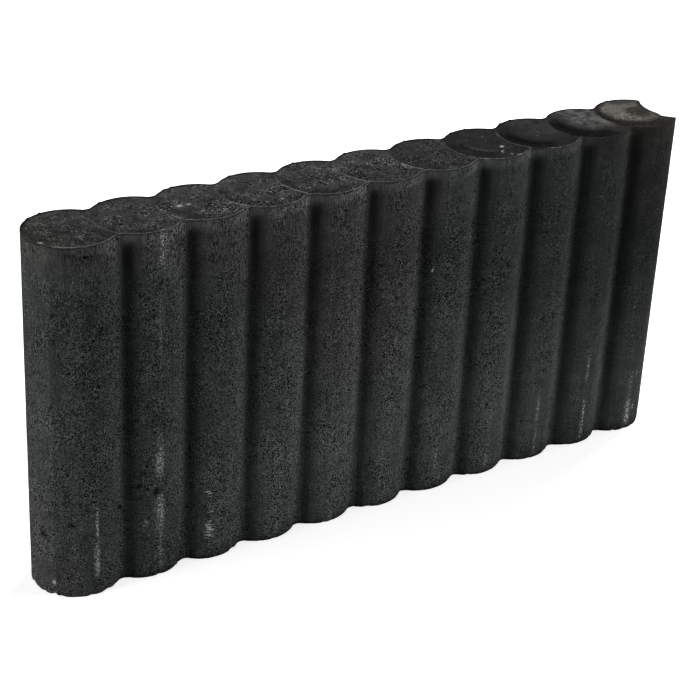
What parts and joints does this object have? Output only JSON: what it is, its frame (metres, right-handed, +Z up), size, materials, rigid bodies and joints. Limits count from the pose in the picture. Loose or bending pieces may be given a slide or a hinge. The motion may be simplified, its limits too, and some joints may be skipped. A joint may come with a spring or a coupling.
{
  "type": "concrete palisade",
  "caption": "Upright concrete edging block: a row of fused round columns with bevelled tops, a round end, and an end groove that takes the round end of the next block.",
  "frame": {"origin": "centre of the base, midway along the block's length and thickness", "axes": "+X along the block towards the groove end, +Y through its thickness, +Z up"},
  "size_m": [0.5069, 0.06, 0.25],
  "materials": {
    "concrete": "matte, fine grained, through-coloured anthracite concrete with a few lime streaks"
  },
  "bodies": {
    "root": {"palisade": "concrete"}
  },
  "joints": []
}
